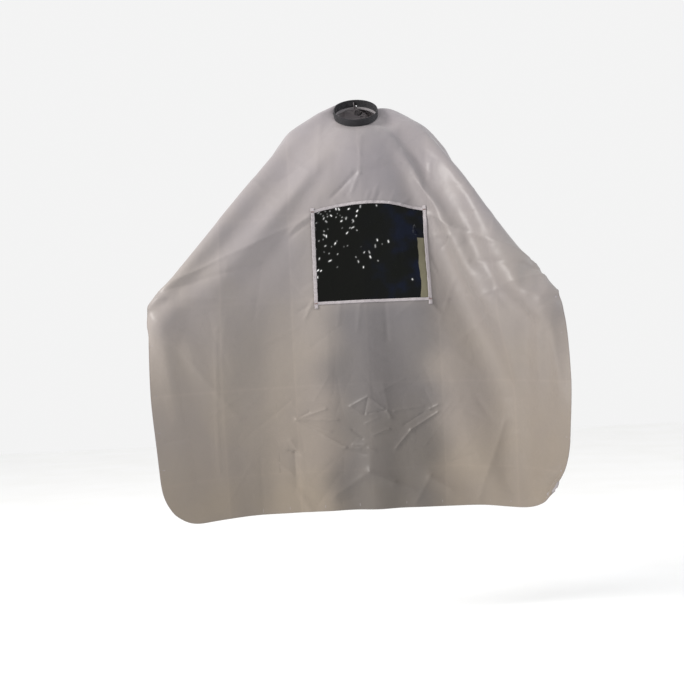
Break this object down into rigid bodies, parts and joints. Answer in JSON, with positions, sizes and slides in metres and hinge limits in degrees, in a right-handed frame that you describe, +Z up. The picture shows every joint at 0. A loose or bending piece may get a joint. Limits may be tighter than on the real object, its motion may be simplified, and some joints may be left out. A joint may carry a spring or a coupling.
{
  "type": "barber cape",
  "caption": "Barber cape of thin pale grey cloth with a dark see-through window on the chest, a ribbed neck band and a snap closing tongue, held out by its wearer's hands.",
  "frame": {"origin": "middle of the neck opening, on the seam between the cloth and the neck band", "axes": "+Z up, the cape's front faces -Y, +X is to the right of someone who looks at the front"},
  "size_m": [1.09, 0.4681, 1.1547],
  "materials": {
    "cape_shell": "satin",
    "window_film": "gloss",
    "window_tape": "satin",
    "tack_thread": "matte",
    "neck_band": "matte",
    "seam_binding": "matte",
    "snap_plastic": "satin",
    "tongue": "matte"
  },
  "bodies": {
    "cape": {"cape_shell": "cape_shell", "window_film": "window_film", "window_tape_top": "window_tape", "window_tape_bottom": "window_tape", "window_tape_left": "window_tape", "window_tape_right": "window_tape", "window_bar_tacks": "tack_thread", "neck_band": "neck_band", "neck_seam_binding": "seam_binding", "band_snap_studs": "snap_plastic", "band_stud_caps": "snap_plastic", "tongue_root_tape": "tongue"},
    "tongue": {"closure_tongue": "tongue", "tongue_snap_sockets": "snap_plastic", "tongue_snap_caps": "snap_plastic"}
  },
  "joints": [
    {"name": "tongue_fold", "type": "hinge", "parent": "cape", "child": "tongue", "pos_m": [0.01148, 0.04452, 0.04875], "axis": [0, 0.6157, -0.788], "range_deg": [0, 120]}
  ]
}
